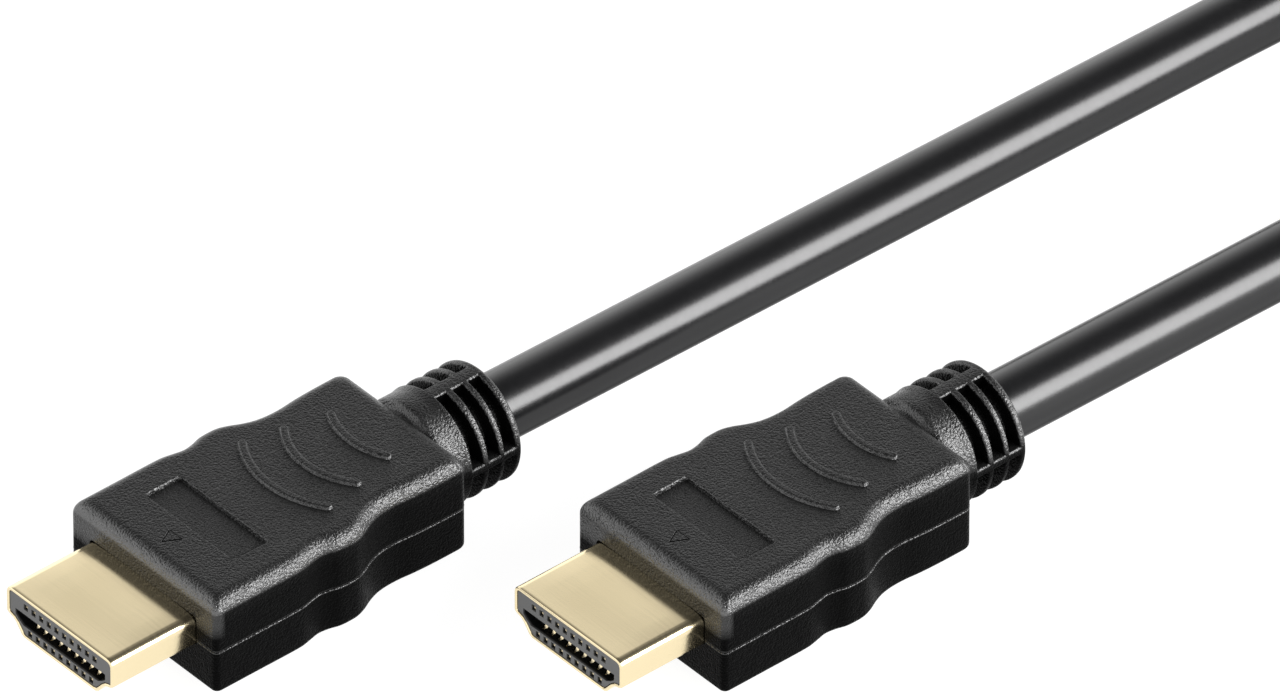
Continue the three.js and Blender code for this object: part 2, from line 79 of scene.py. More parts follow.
# ------------------------------------------------------------------ cord route (mm, from plug A's tip)
CORD_D = 6.3
CORD_R = CORD_D / 2
CORD_RISE, CORD_DROP = 0.25, 0.0177
COIL_L, COIL_STRAIGHT = 171.0, 72.0
COIL_R = COIL_L + COIL_STRAIGHT
COIL_X, COIL_Y = (COIL_L + COIL_R) / 2, PLUG_B[1] / 2
COIL_IN, COIL_PITCH, SIDE_TURNS, BEND_R, FULL_TURNS = 11.0, 6.4, 2.1, 30.0, 4
COIL_OUT = COIL_IN + SIDE_TURNS * COIL_PITCH
EXIT_X = 46.2
STRAP_LIFT = 1.25


def smooth(t):
    c = min(max(t, 0.0), 1.0)
    return c * c * (3 - 2 * c)


def cord_route():
    step = COIL_OUT + COIL_Y
    bend = math.acos(1 - step / (2 * BEND_R))
    bend_x = COIL_L - 2 * BEND_R * math.sin(bend)
    exit_b, z_top = PLUG_B[0] + EXIT_X, CORD_R + CORD_D
    pts = []

    def drop(x, x0):
        return AXIS_H + CORD_RISE - CORD_DROP * (x - x0)

    def settle(x):
        d = drop(x, EXIT_X)
        return d + (CORD_R - d) * smooth((x - 135) / 30)

    def height(x):
        d = drop(x, exit_b)
        return d + (z_top - d) * smooth((x - 116) / 46)

    x = EXIT_X
    while x < bend_x - 3:
        pts.append((x, 0.0, settle(x)))
        x += 6
    for i in range(5):
        a = bend * i / 4
        x = bend_x + BEND_R * math.sin(a)
        pts.append((x, BEND_R * (1 - math.cos(a)), settle(x)))
    for i in range(1, 5):
        a = bend * (1 - i / 4)
        x = COIL_L - BEND_R * math.sin(a)
        pts.append((x, step - BEND_R * (1 - math.cos(a)), settle(x)))
    total = math.pi + 2 * math.pi * FULL_TURNS
    in_end = SIDE_TURNS * 2 * math.pi
    climb = total - 2 * in_end

    def at(turned, cx):
        psi = math.pi / 2 - turned
        if turned <= in_end:
            r = COIL_OUT - COIL_PITCH * turned / (2 * math.pi)
        elif turned <= in_end + climb:
            r = COIL_IN
        else:
            r = COIL_IN + COIL_PITCH * (turned - in_end - climb) / (2 * math.pi)
        z = CORD_R + CORD_D * smooth((turned - in_end + 0.1) / (climb + 0.2))
        x = cx + r * math.cos(psi)
        z += STRAP_LIFT * 1.04 * (1 - smooth((abs(x - COIL_X) - 7.0) / 18.0))
        pts.append((x, COIL_Y + r * math.sin(psi), z))

    halves = 2 * FULL_TURNS + 1
    for h in range(halves + 1):
        right, start = h % 2 == 0, math.pi * h
        for i in range(1, 19):
            f = i / 18
            at(start, COIL_L + COIL_STRAIGHT * f if right else COIL_R - COIL_STRAIGHT * f)
        if h == halves:
            break
        for i in range(1, 15):
            at(start + math.pi * i / 14, COIL_R if right else COIL_L)
    for i in range(1, 5):
        a = bend * i / 4
        x = COIL_L - BEND_R * math.sin(a)
        pts.append((x, PLUG_B[1] - step + BEND_R * (1 - math.cos(a)), height(x)))
    for i in range(1, 5):
        a = bend * (1 - i / 4)
        x = bend_x + BEND_R * math.sin(a)
        pts.append((x, PLUG_B[1] - BEND_R * (1 - math.cos(a)), height(x)))
    x = bend_x - 6
    while x > exit_b + 3:
        pts.append((x, PLUG_B[1], height(x)))
        x -= 6
    pts.append((exit_b, PLUG_B[1], height(exit_b)))
    return np.array(pts)


def through(points, step):
    """Centripetal curve through the points, at about this spacing."""
    p = np.vstack([2 * points[0] - points[1], points, 2 * points[-1] - points[-2]])
    out = []
    for i in range(1, len(p) - 2):
        p0, p1, p2, p3 = p[i - 1], p[i], p[i + 1], p[i + 2]
        t0 = 0.0
        t1 = t0 + np.linalg.norm(p1 - p0) ** 0.5
        t2 = t1 + np.linalg.norm(p2 - p1) ** 0.5
        t3 = t2 + np.linalg.norm(p3 - p2) ** 0.5
        m = max(2, int(math.ceil(np.linalg.norm(p2 - p1) / step)))
        for k in range(m):
            t = t1 + (t2 - t1) * k / m
            a1 = (t1 - t) / (t1 - t0) * p0 + (t - t0) / (t1 - t0) * p1
            a2 = (t2 - t) / (t2 - t1) * p1 + (t - t1) / (t2 - t1) * p2
            a3 = (t3 - t) / (t3 - t2) * p2 + (t - t2) / (t3 - t2) * p3
            b1 = (t2 - t) / (t2 - t0) * a1 + (t - t0) / (t2 - t0) * a2
            b2 = (t3 - t) / (t3 - t1) * a2 + (t - t1) / (t3 - t1) * a3
            out.append((t2 - t) / (t2 - t1) * b1 + (t - t1) / (t2 - t1) * b2)
    out.append(points[-1])
    return np.array(out)


route = through(cord_route(), 1.6)
cord_data = bpy.data.curves.new("cord", "CURVE")
cord_data.dimensions = "3D"
cord_data.bevel_depth = CORD_R * MM
cord_data.bevel_resolution = 12
cord_data.use_fill_caps = True
spline = cord_data.splines.new("POLY")
spline.points.add(len(route) - 1)
row = (route - np.array([ORIGIN[0], ORIGIN[1], 0.0])) * MM
spline.points.foreach_set("co", np.hstack([row, np.ones((len(row), 1))]).ravel())
spline.use_smooth = True
cord = bpy.data.objects.new("cord", cord_data)
scene.collection.objects.link(cord)


# ------------------------------------------------------------------ mesh helpers
def new_object(name, mesh):
    o = bpy.data.objects.new(name, mesh)
    scene.collection.objects.link(o)
    return o


def mesh_from(name, verts, faces, weld=0.0):
    m = bpy.data.meshes.new(name)
    m.from_pydata([tuple(map(float, v)) for v in verts], [], [tuple(map(int, f)) for f in faces])
    bm = bmesh.new()
    bm.from_mesh(m)
    if weld:
        bmesh.ops.remove_doubles(bm, verts=bm.verts, dist=weld)
    bmesh.ops.recalc_face_normals(bm, faces=bm.faces)
    bm.to_mesh(m)
    bm.free()
    return m


def combined(mesh, other, how):
    """mesh with other added or cut out."""
    a, b = new_object("tmp_a", mesh), new_object("tmp_b", other)
    mod = a.modifiers.new("b", "BOOLEAN")
    mod.object = b
    mod.operation = how
    mod.solver = "MANIFOLD"
    bpy.context.view_layer.update()
    dg = bpy.context.evaluated_depsgraph_get()
    out = bpy.data.meshes.new_from_object(a.evaluated_get(dg))
    bpy.data.objects.remove(a)
    bpy.data.objects.remove(b)
    return out


def loft(loops, closed_ring=False):
    """Faces through loops of equal point count; with closed_ring the last joins the first."""
    n = len(loops[0])
    verts = [p for l in loops for p in l]
    faces = []
    m = len(loops)
    for l in range(m if closed_ring else m - 1):
        for i in range(n):
            a, b = l * n + i, l * n + (i + 1) % n
            c, d = ((l + 1) % m) * n + i, ((l + 1) % m) * n + (i + 1) % n
            faces.append((a, b, d, c))
    return verts, faces


def arc_pts(cx, cy, r, a0, a1, n):
    return [(cx + r * math.cos(math.radians(a0 + (a1 - a0) * i / n)), cy + r * math.sin(math.radians(a0 + (a1 - a0) * i / n))) for i in range(n + 1)]


def mirrored(half):
    return list(half) + [(-y, z) for y, z in reversed(half)]


def softened(points, cut, k=4):
    """Closed outline with each corner replaced by a small curve."""
    out = []
    n = len(points)
    for i in range(n):
        a, b, c = (np.array(points[(i + j) % n], float) for j in (-1, 0, 1))
        la, lc = np.linalg.norm(a - b), np.linalg.norm(c - b)
        p = b + (a - b) / la * min(cut, 0.48 * la)
        q = b + (c - b) / lc * min(cut, 0.48 * lc)
        for j in range(k + 1):
            t = j / k
            out.append(tuple((1 - t) ** 2 * p + 2 * t * (1 - t) * b + t * t * q))
    return out


def grown(points, d):
    """Closed outline moved outwards by d."""
    p = np.array(points, float)
    nxt, prv = np.roll(p, -1, 0), np.roll(p, 1, 0)
    area = float((p[:, 0] * nxt[:, 1] - nxt[:, 0] * p[:, 1]).sum())
    s = 1.0 if area > 0 else -1.0
    d1, d2 = p - prv, nxt - p
    d1 /= np.linalg.norm(d1, axis=1)[:, None]
    d2 /= np.linalg.norm(d2, axis=1)[:, None]
    n1 = np.stack([d1[:, 1] * s, -d1[:, 0] * s], 1)
    n2 = np.stack([d2[:, 1] * s, -d2[:, 0] * s], 1)
    bis = n1 + n2
    bis /= np.linalg.norm(bis, axis=1)[:, None]
    k = np.maximum(0.5, (bis * n1).sum(1))
    return p + bis * (d / k)[:, None]


# ------------------------------------------------------------------ overmould: grip
GRIP_FRONT, GRIP_REAR, GRIP_TOP, GRIP_BOTTOM = 9.2, 38.2, 5.15, -4.6
TOP_R, BOTTOM_R, CORNER_R, REAR_CORNER_R = 1.5, 0.5, 0.55, 0.9
GRIP_HALF = np.array([[9.2, 9.5], [14, 9.5], [18.2, 9.5], [19, 9.45], [20, 9.24], [21, 9.05], [22, 9.17], [23, 9.45], [24, 9.51], [25, 9.44],
                      [26, 9.1], [27, 8.6], [28, 8.22], [29, 8.03], [30, 7.97], [31, 8.0], [32, 8.1], [33.5, 8.19], [36, 8.24], [38.2, 8.25]])
half_line = through(np.hstack([GRIP_HALF, np.zeros((len(GRIP_HALF), 1))]), 0.1)


def half_at(x):
    return float(np.interp(x, half_line[:, 0], half_line[:, 1]))


SIDE_X = [11.5 + i * (35.55 - 11.5) / 100 for i in range(101)]


def grip_outline(d):
    side = []
    for x in SIDE_X:
        slope = (half_at(x + 0.15) - half_at(x - 0.15)) / 0.3
        l = math.hypot(1, slope)
        side.append((x + slope / l * d, half_at(x) - d / l))
    rf, rr = CORNER_R, REAR_CORNER_R
    hf, hr = half_at(11.5), half_at(35.55)
    pts = [(x, -y) for x, y in side]
    pts += arc_pts(GRIP_REAR - d - rr, -(hr - d - rr), rr, -90, 0, 7)
    w = hr - d - rr
    pts += [(GRIP_REAR - d, -w + 2 * w * i / 24) for i in range(1, 24)]
    pts += arc_pts(GRIP_REAR - d - rr, hr - d - rr, rr, 0, 90, 7)
    pts += [(x, y) for x, y in reversed(side)]
    pts += arc_pts(GRIP_FRONT + d + rf, hf - d - rf, rf, 90, 180, 7)
    w = hf - d - rf
    pts += [(GRIP_FRONT + d, w - 2 * w * i / 30) for i in range(1, 30)]
    pts += arc_pts(GRIP_FRONT + d + rf, -(hf - d - rf), rf, 180, 270, 7)
    return pts


RECESS = (14.3, 18.2, 5.82, 0.35)
MARK = (11.2, 12.9, 0.9, 0.25)
ARC_RIDGES = [(23.1, 9.6, 5.85), (27.15, 7.6, 5.0), (32.15, 7.6, 3.95)]
RIDGE_HW, RIDGE_H = 0.45, 0.28
RIDGE_PROFILE = [(0.0, 1.0), (0.12, 0.995), (0.22, 0.96), (0.30, 0.86), (0.355, 0.70), (0.395, 0.45), (0.425, 0.18), (0.45, 0.04), (0.49, 0.0)]


def ridge_loop(ridge, q):
    """Closed outline at distance q from the ridge's centre line."""
    vertex, radius, half_chord = ridge
    a = math.degrees(math.asin(half_chord / radius)) - math.degrees((RIDGE_HW * 0.75) / radius)
    cx = vertex + radius
    pts = [(cx - (radius + q) * math.cos(math.radians(t)), (radius + q) * math.sin(math.radians(t))) for t in np.linspace(-a, a, 41)]
    if q <= 0:
        return pts
    # cap at +a, inner side back, cap at -a
    e = (cx - radius * math.cos(math.radians(a)), radius * math.sin(math.radians(a)))
    for t in np.linspace(0, 180, 9)[1:-1]:
        ang = math.radians(180 - a - t)
        pts.append((e[0] + q * math.cos(ang), e[1] + q * math.sin(ang)))
    pts += [(cx - (radius - q) * math.cos(math.radians(t)), (radius - q) * math.sin(math.radians(t))) for t in np.linspace(a, -a, 41)]
    e = (cx - radius * math.cos(math.radians(a)), -radius * math.sin(math.radians(a)))
    for t in np.linspace(0, 180, 9)[1:-1]:
        ang = math.radians(a - t)
        pts.append((e[0] + q * math.cos(ang), e[1] + q * math.sin(ang)))
    return pts


def rounded_box(x0, x1, hy, r, n=5):
    return (arc_pts(x1 - r, hy - r, r, 0, 90, n) + arc_pts(x0 + r, hy - r, r, 90, 180, n)
            + arc_pts(x0 + r, -hy + r, r, 180, 270, n) + arc_pts(x1 - r, -hy + r, r, 270, 360, n))


def cap_mesh(ring, z, loops):
    """Triangles inside ring at height z, with loops [(points, height over z)] worked in."""
    pts, height, edges = [], [], []
    for p in ring:
        pts.append(Vector((p[0], p[1])))
        height.append(0.0)
    faces = [list(range(len(ring)))]
    for loop, h, is_closed in loops:
        start = len(pts)
        for p in loop:
            pts.append(Vector((float(p[0]), float(p[1]))))
            height.append(h)
        m = len(loop)
        edges += [(start + i, start + (i + 1) % m) for i in range(m if is_closed else m - 1)]
    out = delaunay_2d_cdt(pts, edges, faces, 1, 1e-5)
    verts = [(v[0], v[1], z + (height[o[0]] if o else 0.0)) for v, o in zip(out[0], out[3])]
    return verts, [tuple(f) for f in out[2]]


def grip_mesh():
    loops = []

    def level(d, z):
        loops.append([(x, y, z) for x, y in grip_outline(d)])

    for i in range(7):
        a = math.pi / 2 * i / 6
        level(BOTTOM_R * (1 - math.sin(a)), GRIP_BOTTOM + BOTTOM_R * (1 - math.cos(a)))
    for z, d in [(-3.0, 0), (-1.5, 0), (-0.42, 0), (-0.36, 0), (-0.32, 0), (-0.27, 0.012), (-0.23, 0.06), (-0.17, 0.06), (-0.13, -0.015), (-0.06, -0.015), (0.0, 0), (0.05, 0), (0.12, 0), (1.2, 0), (2.6, 0)]:
        level(d, z)
    for i in range(15):
        a = math.pi / 2 * i / 14
        level(TOP_R * (1 - math.cos(a)), GRIP_TOP - TOP_R * (1 - math.sin(a)))
    level(TOP_R + 0.1, GRIP_TOP)
    verts, faces = loft(loops)
    n = len(loops[0])
    faces.append(tuple(reversed(range(n))))
    relief = []
    for ridge in ARC_RIDGES:
        for q, h in RIDGE_PROFILE:
            relief.append((ridge_loop(ridge, q), h * RIDGE_H, q > 0))
        relief.append((ridge_loop(ridge, 0.56), 0.0, True))
    x0, x1, hy, depth = RECESS
    for inset, h in [(-0.12, 0.0), (-0.04, 0.0), (0.0, -0.025), (0.03, -0.08), (0.07, -depth + 0.03), (0.12, -depth), (0.22, -depth)]:
        relief.append((rounded_box(x0 + inset, x1 - inset, hy - inset, 0.32 - inset * 0.4), h, True))
    mp, mb, mh, md = MARK
    tri = softened([(mp, 0.0), (mb, -mh), (mb, mh)], 0.16, 3)
    for inset, h in [(-0.08, 0.0), (-0.03, 0.0), (0.0, -0.02), (0.06, -md + 0.02), (0.11, -md)]:
        relief.append((grown(tri, -inset), h, True))
    cv, cf = cap_mesh([(p[0], p[1]) for p in loops[-1]], GRIP_TOP, relief)
    base = len(verts)
    verts += cv
    faces += [tuple(base + i for i in f) for f in cf]
    return mesh_from("grip", verts, faces, weld=0.002)


# ------------------------------------------------------------------ overmould: boot
BOOT_R, BOOT_REAR, BORE_R, BORE_FRONT = 5.6, 46.5, 3.3, 45.9
SLOT_REARS, SLOT_W, SLOT_FLOOR = (42.2, 44.02, 45.78), 1.16, 3.95
RIBS = ((89.0, 1.35), (2.0, 0.8), (270.0, 1.35), (178.0, 0.8))
EDGE = [(-0.19, 0.0), (-0.13, 0.008), (-0.08, 0.03), (-0.035, 0.07), (-0.005, 0.14), (0.012, 0.5), (0.03, 0.95), (0.08, 1.0)]


def boot_mesh():
    def table(pos):
        t = [e[0] for e in EDGE]
        v = [e[1] for e in EDGE]
        return float(np.interp(pos, t, v))

    xs = [37.0, 37.6, 37.85, 38.0, 38.15, 38.3, 38.45, 38.7, 39.2, 39.8, 40.3, 40.7]
    for rear in SLOT_REARS:
        front = rear - SLOT_W
        xs += [front + e[0] for e in EDGE] + [front + SLOT_W / 2] + [rear - e[0] for e in reversed(EDGE)]
    xs = sorted(xs)
    depth_x = []
    for x in xs:
        s = 0.0
        for rear in SLOT_REARS:
            s = max(s, min(table(x - (rear - SLOT_W)), table(rear - x)))
        depth_x.append(s)
    # angles, with lines placed at the ribs' edges
    ribs = sorted((c, math.degrees(w / 2 / 4.9)) for c, w in RIBS)
    angles = []
    for i, (c, h) in enumerate(ribs):
        nc, nh = ribs[(i + 1) % len(ribs)]
        nc += 360 if nc < c else 0
        angles += [(c, 0.0), (c + h * 0.25, 0.0)]
        for t, v in EDGE:
            angles.append((c + h + math.degrees(t / 5.0), v))
        a0, a1 = c + h + 1.6, nc - nh - 1.6
        angles += [(a0 + (a1 - a0) * k / 20, 1.0) for k in range(1, 20)]
        for t, v in reversed(EDGE):
            angles.append((nc - nh - math.degrees(t / 5.0), v))
        angles.append((nc - nh * 0.25, 0.0))
    loops = []

    def ring(x, radius_of):
        loops.append([(x, radius_of(k) * math.cos(math.radians(a)), radius_of(k) * math.sin(math.radians(a))) for k, (a, v) in enumerate(angles)])

    def outer(x):
        return BOOT_R + 0.02 - 0.05 * smooth((x - 38) / 8) - 0.13 * (1 - smooth((x - 40.3) / 0.6)) - 0.55 * (1 - smooth((x - 37.8) / 0.75))

    for x, s in zip(xs, depth_x):
        depth = BOOT_R - SLOT_FLOOR
        ring(x, lambda k: outer(x) - depth * min(s, angles[k][1]))
    for dx, dr in [(-0.42, 0.0), (-0.3, 0.012), (-0.17, 0.05), (-0.08, 0.12), (-0.02, 0.24), (0.0, 0.4)]:
        ring(BOOT_REAR + dx, lambda k: outer(BOOT_REAR) - dr)

    def bore(x, r):
        loops.append([(x, r * math.cos(math.radians(a)), CORD_RISE + r * math.sin(math.radians(a))) for a, v in angles])

    bore(BOOT_REAR, BORE_R + 0.12)
    bore(BOOT_REAR - 0.03, BORE_R + 0.03)
    bore(BOOT_REAR - 0.12, BORE_R)
    bore(BORE_FRONT, BORE_R)
    verts, faces = loft(loops)
    n = len(loops[0])
    faces.append(tuple(reversed(range(n))))
    faces.append(tuple((len(loops) - 1) * n + i for i in range(n)))
    return mesh_from("boot", verts, faces)


SHELL_OUT = [(6.55, 2.27), (6.82, 2.16), (6.93, 1.9), (6.93, -0.46), (6.72, -0.64), (6.04, -0.84), (5.7, -1.12), (5.0, -2.02), (4.7, -2.18)]
SHELL_IN = [(6.3, 1.9), (6.52, 1.8), (6.62, 1.56), (6.62, -0.28), (6.5, -0.4), (5.9, -0.58), (5.48, -0.93), (4.79, -1.76), (4.52, -1.9)]
POCKET_REAR = 14.0
SHELL_REAR = 13.6


def prism_mesh(name, outline, x0, x1):
    loops = [[(x, y, z) for y, z in outline] for x in (x0, x1)]
    verts, faces = loft(loops)
    n = len(outline)
    faces.append(tuple(reversed(range(n))))
    faces.append(tuple(n + i for i in range(n)))
    return mesh_from(name, verts, faces)


def overmould_mesh():
    body = combined(grip_mesh(), boot_mesh(), "UNION")
    pocket = prism_mesh("pocket", grown(softened(mirrored(SHELL_OUT), 0.12), 0.08), GRIP_FRONT - 1, POCKET_REAR)
    return combined(body, pocket, "DIFFERENCE")


def shell_mesh():
    half = [(6.2, 2.27), (6.5, 2.22), (6.74, 2.07), (6.88, 1.84), (6.93, 1.55)] + SHELL_OUT[3:]
    out = softened([(y, 2.27) for y in (-4.6, -2.9, -1.0, 1.0, 2.9, 4.6)] + mirrored(half), 0.12, 4)
    half = [(6.3, 1.9), (6.41, 1.85), (6.52, 1.8), (6.57, 1.68), (6.62, 1.56)] + SHELL_IN[3:]
    inn = softened([(y, 1.9) for y in (-4.4, -2.8, -1.0, 1.0, 2.8, 4.4)] + mirrored(half), 0.10, 4)
    out, inn = np.array(out), np.array(inn)
    mid = (out + inn) / 2
    loops = []

    def ring(x, outline):
        loops.append([(x, p[0], p[1]) for p in outline])

    for x in (SHELL_REAR, 12.0, 9.3, 8.0, 7.0, 6.0, 5.0, 4.0, 3.0, 2.2, 1.5, 0.9, 0.5, 0.35, 0.12):
        crown = 0.07 * smooth((x - 0.4) / 5.0)
        ring(x, [(y, z + (crown * max(0.0, 1 - (y / 6.3) ** 4) if z > 2.0 else 0.0)) for y, z in out])
    for t, x in [(0.05, 0.06), (0.14, 0.02), (0.28, 0.0)]:
        ring(x, out + (mid - out) * 2 * t)
    for t, x in [(0.28, 0.0), (0.14, 0.02), (0.05, 0.06)]:
        ring(x, inn + (mid - inn) * 2 * t)
    for x in (0.12, 0.35, 1.2, 3.5, 6.5, 9.3, 12.0, SHELL_REAR):
        ring(x, inn)
    verts, faces = loft(loops, closed_ring=True)
    return mesh_from("shell", verts, faces)


# ------------------------------------------------------------------ materials
def material(name):
    m = bpy.data.materials.new(name)
    m.use_nodes = True
    nt = m.node_tree
    nt.nodes.clear()
    out = nt.nodes.new("ShaderNodeOutputMaterial")
    bsdf = nt.nodes.new("ShaderNodeBsdfPrincipled")
    nt.links.new(bsdf.outputs[0], out.inputs["Surface"])
    return m, nt, bsdf


def coords(nt, scale=(1, 1, 1)):
    tc = nt.nodes.new("ShaderNodeTexCoord")
    mp = nt.nodes.new("ShaderNodeMapping")
    mp.inputs["Scale"].default_value = scale
    nt.links.new(tc.outputs["Object"], mp.inputs["Vector"])
    return mp.outputs[0]


def noise(nt, vec, scale, detail=2.0, rough=0.5):
    n = nt.nodes.new("ShaderNodeTexNoise")
    n.inputs["Scale"].default_value = scale
    n.inputs["Detail"].default_value = detail
    n.inputs["Roughness"].default_value = rough
    nt.links.new(vec, n.inputs["Vector"])
    return n.outputs["Fac"]


def mapped(nt, value, a, b, c, d):
    m = nt.nodes.new("ShaderNodeMapRange")
    for k, v in zip(("From Min", "From Max", "To Min", "To Max"), (a, b, c, d)):
        m.inputs[k].default_value = v
    nt.links.new(value, m.inputs["Value"])
    return m.outputs[0]


def ramp(nt, value, stops):
    r = nt.nodes.new("ShaderNodeValToRGB")
    e = r.color_ramp.elements
    while len(e) > 1:
        e.remove(e[-1])
    e[0].position, e[0].color = stops[0][0], (*stops[0][1], 1)
    for p, c in stops[1:]:
        x = e.new(p)
        x.color = (*c, 1)
    nt.links.new(value, r.inputs[0])
    return r.outputs[0]


def bumped(nt, bsdf, height, distance, strength=1.0, under=None):
    b = nt.nodes.new("ShaderNodeBump")
    b.inputs["Distance"].default_value = distance
    b.inputs["Strength"].default_value = strength
    nt.links.new(height, b.inputs["Height"])
    if under is not None:
        nt.links.new(under, b.inputs["Normal"])
    if bsdf is not None:
        nt.links.new(b.outputs[0], bsdf.inputs["Normal"])
    return b.outputs[0]


def facing_up(nt):
    """The upward part of the surface's own direction, from -1 to 1."""
    g = nt.nodes.new("ShaderNodeNewGeometry")
    sp = nt.nodes.new("ShaderNodeSeparateXYZ")
    nt.links.new(g.outputs["Normal"], sp.inputs[0])
    return sp.outputs["Z"]


def times(nt, a, b):
    m = nt.nodes.new("ShaderNodeMath")
    m.operation = "MULTIPLY"
    nt.links.new(a, m.inputs[0])
    nt.links.new(b, m.inputs[1])
    return m.outputs[0]


def grip_material():
    m, nt, bsdf = material("moulded_black_grain")
    v = coords(nt)
    fine = noise(nt, v, 4800, 1.5, 0.6)
    broad = noise(nt, v, 350, 2.0)
    up = facing_up(nt)
    # painted light and shade: the upper faces are painted a little paler and glossier than the sides, which are painted
    # dark as if in shade; the rounded upper edges get the most shine, as a painted highlight
    painted_light_and_shade_tone = times(nt, mapped(nt, broad, 0.3, 0.7, 0.9, 1.1), mapped(nt, up, 0.1, 0.9, 0.0015, 0.0095))
    nt.links.new(painted_light_and_shade_tone, bsdf.inputs["Base Color"])
    nt.links.new(mapped(nt, fine, 0.3, 0.7, 0.22, 0.38), bsdf.inputs["Roughness"])
    # painted reflection: the front face just above the shell is given extra shine, so the gold top shows in it more
    # strongly
    tc = nt.nodes.new("ShaderNodeTexCoord")
    at = nt.nodes.new("ShaderNodeSeparateXYZ")
    nt.links.new(tc.outputs["Object"], at.inputs[0])
    painted_reflection_near_shell = times(nt, mapped(nt, at.outputs["Z"], 0.0012, 0.0026, 0.0, 1.0), mapped(nt, at.outputs["X"], 0.0094, 0.0103, 0.55, 0.0))
    add = nt.nodes.new("ShaderNodeMath")
    add.operation = "ADD"
    painted_sheen_gloss = ramp(nt, up, [(0.0, (0.015,) * 3), (0.1, (0.06,) * 3), (0.28, (0.85,) * 3), (0.8, (0.85,) * 3), (0.97, (0.2,) * 3), (1.0, (0.18,) * 3)])
    nt.links.new(painted_sheen_gloss, add.inputs[0])
    nt.links.new(painted_reflection_near_shell, add.inputs[1])
    nt.links.new(add.outputs[0], bsdf.inputs["Specular IOR Level"])
    bumped(nt, bsdf, fine, 0.00014, 1.0)
    return m


def cord_material():
    m, nt, bsdf = material("cord_black_gloss")
    v = coords(nt)
    broad = noise(nt, v, 160, 2.0)
    fine = noise(nt, v, 1800, 2.0)
    up = facing_up(nt)
    nt.links.new(ramp(nt, broad, [(0.3, (0.0035, 0.0036, 0.004)), (0.7, (0.005, 0.0051, 0.0056))]), bsdf.inputs["Base Color"])
    nt.links.new(mapped(nt, fine, 0.3, 0.7, 0.235, 0.265), bsdf.inputs["Roughness"])
    # painted shade: the underside is given less shine than the top, so it reflects the pale floor less
    nt.links.new(mapped(nt, up, -0.35, 0.2, 0.02, 0.5), bsdf.inputs["Specular IOR Level"])
    bumped(nt, bsdf, fine, 0.000004, 0.5)
    return m


def gold_material():
    m, nt, bsdf = material("gold_plating")
    v = coords(nt, (1.0, 0.05, 1.0))
    lines = noise(nt, v, 3000, 2.0, 0.6)
    v2 = coords(nt)
    broad = noise(nt, v2, 120, 2.0)
    nt.links.new(ramp(nt, broad, [(0.3, (0.845, 0.715, 0.455)), (0.7, (0.865, 0.735, 0.475))]), bsdf.inputs["Base Color"])
    bsdf.inputs["Metallic"].default_value = 1.0
    nt.links.new(mapped(nt, lines, 0.3, 0.7, 0.15, 0.20), bsdf.inputs["Roughness"])
    bumped(nt, bsdf, lines, 0.000004, 0.8)
    return m


def contact_material():
    m, nt, bsdf = material("contact_gold")
    v = coords(nt)
    n = noise(nt, v, 900, 2.0)
    nt.links.new(ramp(nt, n, [(0.3, (0.95, 0.80, 0.52)), (0.7, (0.98, 0.86, 0.60))]), bsdf.inputs["Base Color"])
    bsdf.inputs["Metallic"].default_value = 1.0
    nt.links.new(mapped(nt, n, 0.3, 0.7, 0.34, 0.42), bsdf.inputs["Roughness"])
    return m


def insulator_material(tip_x):
    m, nt, bsdf = material("insulator_grey")
    v = coords(nt)
    n = noise(nt, v, 2500, 3.0)
    g = nt.nodes.new("ShaderNodeNewGeometry")
    at = nt.nodes.new("ShaderNodeSeparateXYZ")
    nt.links.new(g.outputs["Position"], at.inputs[0])
    # painted shade: the moulding is pale and shiny only on its front face, and is painted dark and dull inside, where
    # shade falls
    painted_light_and_shade_tone = times(nt, mapped(nt, n, 0.3, 0.7, 0.9, 1.1), mapped(nt, at.outputs["X"], tip_x + 0.00014, tip_x + 0.00034, 0.085, 0.006))
    nt.links.new(painted_light_and_shade_tone, bsdf.inputs["Base Color"])
    nt.links.new(mapped(nt, at.outputs["X"], tip_x + 0.00014, tip_x + 0.00034, 0.5, 0.05), bsdf.inputs["Specular IOR Level"])
    nt.links.new(mapped(nt, n, 0.3, 0.7, 0.42, 0.55), bsdf.inputs["Roughness"])
    bumped(nt, bsdf, n, 0.00001, 0.4)
    return m


def webbing_material():
    m, nt, bsdf = material("webbing_black")
    v = coords(nt)
    w = nt.nodes.new("ShaderNodeTexWave")
    w.inputs["Scale"].default_value = 900
    nt.links.new(v, w.inputs["Vector"])
    n = noise(nt, v, 1500, 2.0)
    nt.links.new(ramp(nt, n, [(0.3, (0.014, 0.014, 0.015)), (0.7, (0.028, 0.028, 0.03))]), bsdf.inputs["Base Color"])
    bsdf.inputs["Roughness"].default_value = 0.85
    bsdf.inputs["Sheen Weight"].default_value = 0.15
    b1 = bumped(nt, None, w.outputs["Fac"], 0.00012, 0.8)
    bumped(nt, bsdf, n, 0.00006, 0.7, under=b1)
    return m


MAT = {"grip": grip_material(), "cord": cord_material(), "gold": gold_material(), "contact": contact_material(),
       "webbing": webbing_material()}


INSULATOR = {plug: insulator_material((dx - ORIGIN[0]) * MM) for plug, (dx, dy) in PLUGS.items()}


# ------------------------------------------------------------------ pieces
def finished(mesh, angle):
    for p in mesh.polygons:
        p.use_smooth = True
    mesh.set_sharp_from_angle(angle=math.radians(angle))
    return mesh


def place(name, mesh, plug, mat, node):
    m = mesh.copy()
    m.materials.clear()
    m.materials.append(mat)
    o = new_object(name, m)
    dx, dy = PLUGS[plug]
    o.scale = (1, 1, 1)
    o.location = ((dx - ORIGIN[0]) * MM, (dy - ORIGIN[1]) * MM, AXIS_H * MM)
    bpy.context.view_layer.update()
    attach(o, "root")
    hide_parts(node)
    return o


def scaled(mesh):
    mesh.transform(Matrix.Scale(MM, 4))
    return mesh


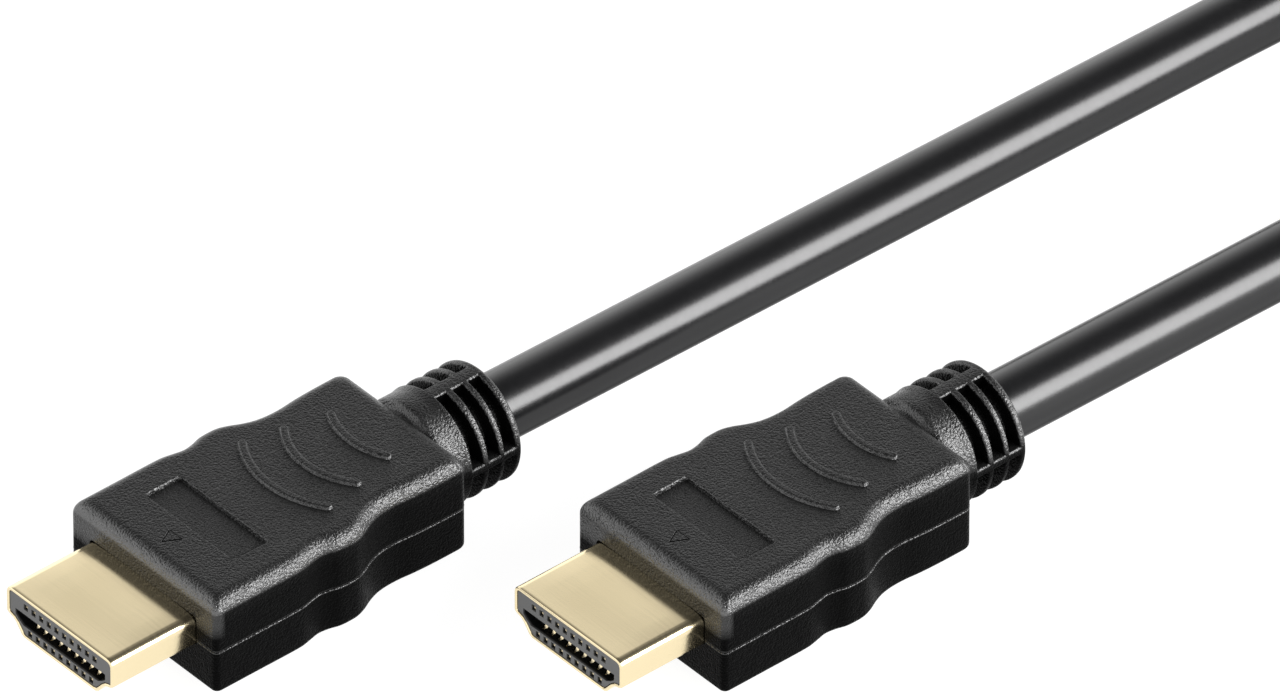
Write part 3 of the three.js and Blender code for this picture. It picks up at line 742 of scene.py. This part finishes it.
overmould = finished(scaled(overmould_mesh()), 32)
shell = finished(scaled(shell_mesh()), 40)
print("overmould faces", len(overmould.polygons), "shell", len(shell.polygons))
for plug in PLUGS:
    place(plug + "_moulding", overmould, plug, MAT["grip"], plug + "_overmould")
    place(plug + "_shell_sheet", shell, plug, MAT["gold"], plug + "_shell")

for name, o in nodes.items():
    if "contact" in name:
        mat, width = MAT["contact"], 0.045
    elif "insulator" in name:
        mat, width = INSULATOR[name[:6]], 0.03
    elif name == "cord_tie":
        mat, width = MAT["webbing"], 0.3
    else:
        continue
    o.data.materials.clear()
    o.data.materials.append(mat)
    b = o.modifiers.new("edges", "BEVEL")
    b.width = width * MM
    b.segments = 3 if name == "cord_tie" else 2
    b.limit_method = "ANGLE"
    b.angle_limit = math.radians(35)
    b.harden_normals = False

cord_data.materials.append(MAT["cord"])
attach(cord, "root")
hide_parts("cord_lead_a", "cord_lead_b", "cord_coil")


# ------------------------------------------------------------------ floor, light
def floor_material():
    m, nt, bsdf = material("pale_floor")
    v = coords(nt)
    n = noise(nt, v, 6, 2.0)
    nt.links.new(ramp(nt, n, [(0.3, (0.195, 0.195, 0.195)), (0.7, (0.205, 0.205, 0.205))]), bsdf.inputs["Base Color"])
    bsdf.inputs["Roughness"].default_value = 1.0
    bsdf.inputs["Specular IOR Level"].default_value = 0.0
    bsdf.inputs["Emission Color"].default_value = (1, 1, 1, 1)
    bsdf.inputs["Emission Strength"].default_value = 0.92
    return m


floor = new_object("floor", mesh_from("floor", [(-4, -4, 0), (4, -4, 0), (4, 4, 0), (-4, 4, 0)], [(0, 1, 2, 3)]))
floor.location.z = -0.00005
floor.data.materials.append(floor_material())

world = bpy.data.worlds.new("studio")
scene.world = world
world.use_nodes = True
nt = world.node_tree
nt.nodes.clear()
wo = nt.nodes.new("ShaderNodeOutputWorld")
bg = nt.nodes.new("ShaderNodeBackground")
nt.links.new(bg.outputs[0], wo.inputs["Surface"])
tc = nt.nodes.new("ShaderNodeTexCoord")
sep = nt.nodes.new("ShaderNodeSeparateXYZ")
nt.links.new(tc.outputs["Generated"], sep.inputs[0])
levels = [(0.0, 1.6), (0.19, 1.7), (0.39, 1.6), (0.56, 1.05), (0.66, 0.8), (0.743, 0.3), (0.83, 0.11), (1.0, 0.11)]
top = 2.0
nt.links.new(ramp(nt, sep.outputs["Z"], [(z, (l / top,) * 3) for z, l in levels]), bg.inputs["Color"])
bg.inputs["Strength"].default_value = top


def area(name, direction, distance, size, power, target=(0.02, 0.0, 0.0)):
    d = bpy.data.lights.new(name, "AREA")
    d.shape = "RECTANGLE"
    d.size, d.size_y = size
    d.energy = power
    o = bpy.data.objects.new(name, d)
    scene.collection.objects.link(o)
    v = Vector(direction).normalized()
    o.location = Vector(target) + v * distance
    o.rotation_euler = (-v).to_track_quat("-Z", "Y").to_euler()
    return o


area("main_softbox", (0.52, -0.76, 0.39), 1.2, (1.0, 0.7), 26.0)
